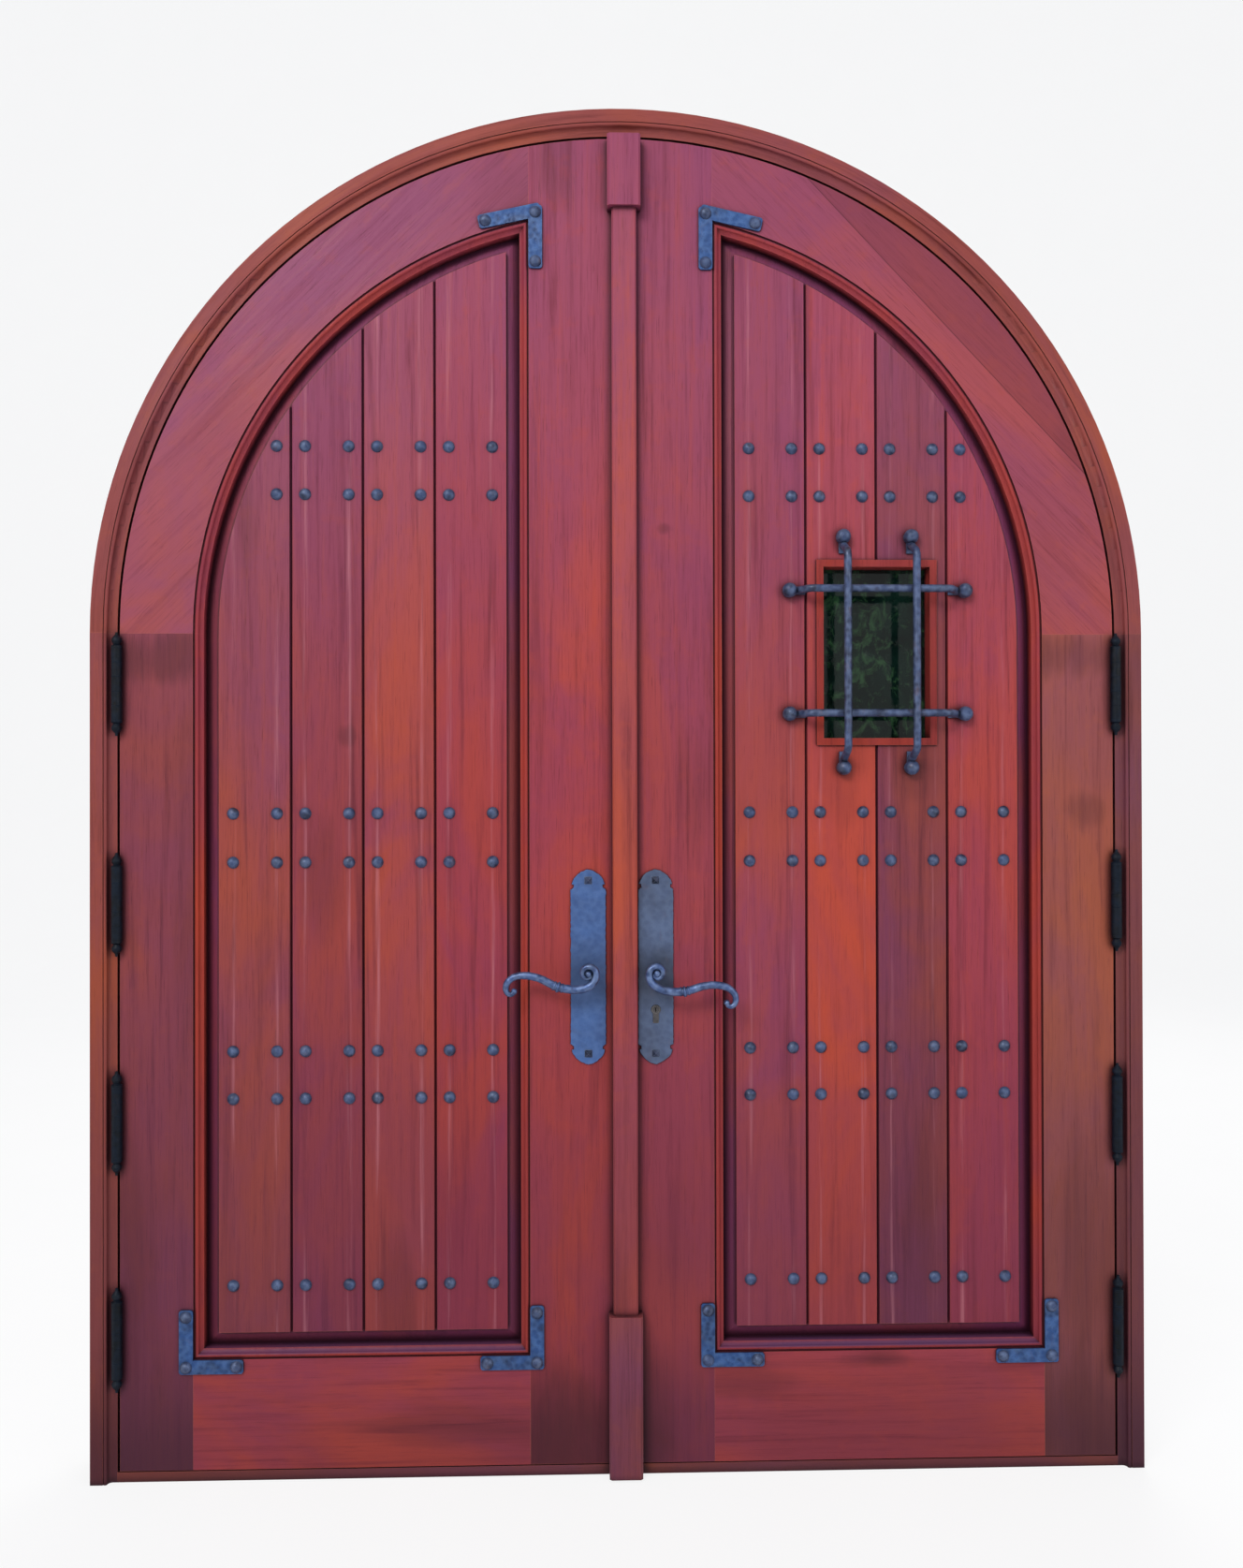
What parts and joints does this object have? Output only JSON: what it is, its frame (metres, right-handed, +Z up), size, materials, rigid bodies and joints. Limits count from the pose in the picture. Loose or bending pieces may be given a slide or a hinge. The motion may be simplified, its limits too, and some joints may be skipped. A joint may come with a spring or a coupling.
{
  "type": "arched double entry door",
  "caption": "Round-topped pair of out-swinging wooden entry leaves in an arched frame, with forged iron fittings and a barred window.",
  "frame": {"origin": "bottom centre of the frame on the floor, halfway through the frame's depth", "axes": "+X right as seen from outside, +Y into the building, +Z up"},
  "size_m": [1.93, 0.1765, 2.5083],
  "materials": {
    "leaf_mahogany": "oiled",
    "board_mahogany": "oiled",
    "frame_mahogany": "oiled",
    "forged_iron": "hammered",
    "hinge_iron": "blackened",
    "lock_steel": "plain",
    "lock_brass": "dull",
    "pane_glass": "clear",
    "seal_rubber": "matt"
  },
  "bodies": {
    "frame": {"right_jamb": "frame_mahogany", "left_jamb": "frame_mahogany", "arched_head": "frame_mahogany", "threshold": "frame_mahogany", "weatherstrip": "seal_rubber", "hinge_frame_plates": "hinge_iron", "hinge_pins": "hinge_iron"},
    "right_lever_set": {"right_lever": "forged_iron", "right_inner_lever": "forged_iron"},
    "left_lever_set": {"left_lever": "forged_iron", "left_inner_lever": "forged_iron"},
    "latch": {"latch_bolt": "lock_steel"},
    "dead_lock": {"dead_bolt": "lock_steel"},
    "key": {"key_plug": "lock_brass"},
    "upper_shoot_bolt": {"top_rod": "lock_steel"},
    "lower_shoot_bolt": {"bottom_rod": "lock_steel"},
    "right_leaf": {"astragal_batten": "leaf_mahogany", "astragal_bottom_block": "leaf_mahogany", "astragal_top_block": "leaf_mahogany", "cylinder_body": "lock_brass", "glazing_stop": "leaf_mahogany", "grille_bars": "forged_iron", "grille_rivets": "forged_iron", "lock_case": "lock_steel", "right_arch_rail": "leaf_mahogany", "right_board_1": "board_mahogany", "right_board_2": "board_mahogany", "right_board_3": "board_mahogany", "right_board_4": "board_mahogany", "right_bottom_rail": "leaf_mahogany", "right_clavos": "forged_iron", "right_corner_straps": "forged_iron", "right_escutcheon": "forged_iron", "right_escutcheon_screws": "forged_iron", "right_hinge_plates": "hinge_iron", "right_hinge_stile": "leaf_mahogany", "right_inner_escutcheon": "forged_iron", "right_lock_stile": "leaf_mahogany", "right_mouldings": "leaf_mahogany", "right_panel": "leaf_mahogany", "window_casing": "leaf_mahogany", "window_pane": "pane_glass"},
    "left_leaf": {"gear_case": "lock_steel", "left_arch_rail": "leaf_mahogany", "left_board_1": "board_mahogany", "left_board_2": "board_mahogany", "left_board_3": "board_mahogany", "left_board_4": "board_mahogany", "left_bottom_rail": "leaf_mahogany", "left_clavos": "forged_iron", "left_corner_straps": "forged_iron", "left_escutcheon": "forged_iron", "left_escutcheon_screws": "forged_iron", "left_hinge_plates": "hinge_iron", "left_hinge_stile": "leaf_mahogany", "left_inner_escutcheon": "forged_iron", "left_lock_stile": "leaf_mahogany", "left_mouldings": "leaf_mahogany", "left_panel": "leaf_mahogany", "strike_plate": "lock_steel"}
  },
  "joints": [
    {"name": "right_leaf_swing", "type": "hinge", "parent": "frame", "child": "right_leaf", "pos_m": [0.91675, -0.0665, 1], "axis": [0, 0, 1], "range_deg": [0, 105]},
    {"name": "left_leaf_swing", "type": "hinge", "parent": "frame", "child": "left_leaf", "pos_m": [-0.91675, -0.0665, 1], "axis": [0, 0, -1], "range_deg": [0, 105]},
    {"name": "right_lever_turn", "type": "hinge", "parent": "right_leaf", "child": "right_lever_set", "pos_m": [0.062, -0.028, 0.924], "axis": [0, 1, 0], "range_deg": [0, 45], "stiffness_Nm_per_rad": 2, "springref_deg": -57.3},
    {"name": "latch_slide", "type": "slide", "parent": "right_leaf", "child": "latch", "axis": [1, 0, 0], "range_m": [0, 0.0121]},
    {"name": "key_turn", "type": "hinge", "parent": "right_leaf", "child": "key", "pos_m": [0.062, -0.028, 0.852], "axis": [0, 1, 0], "range_deg": [0, 361]},
    {"name": "dead_bolt_slide", "type": "slide", "parent": "right_leaf", "child": "dead_lock", "axis": [-1, 0, 0], "range_m": [0, 0.02]},
    {"name": "left_lever_turn", "type": "hinge", "parent": "left_leaf", "child": "left_lever_set", "pos_m": [-0.062, -0.028, 0.924], "axis": [0, 1, 0], "range_deg": [0, 45]},
    {"name": "top_rod_slide", "type": "slide", "parent": "left_leaf", "child": "upper_shoot_bolt", "axis": [0, 0, 1], "range_m": [0, 0.0151]},
    {"name": "bottom_rod_slide", "type": "slide", "parent": "left_leaf", "child": "lower_shoot_bolt", "axis": [0, 0, -1], "range_m": [0, 0.0151]}
  ],
  "couplings": [
    {"joint": "left_leaf_swing", "follows": "right_leaf_swing", "ratio": 1},
    {"joint": "latch_slide", "follows": "right_lever_turn", "m_per_rad": 0.015279},
    {"joint": "key_turn", "follows": "dead_bolt_slide", "rad_per_m": 314.16},
    {"joint": "top_rod_slide", "follows": "left_lever_turn", "m_per_rad": 0.019099},
    {"joint": "bottom_rod_slide", "follows": "left_lever_turn", "m_per_rad": 0.019099}
  ]
}
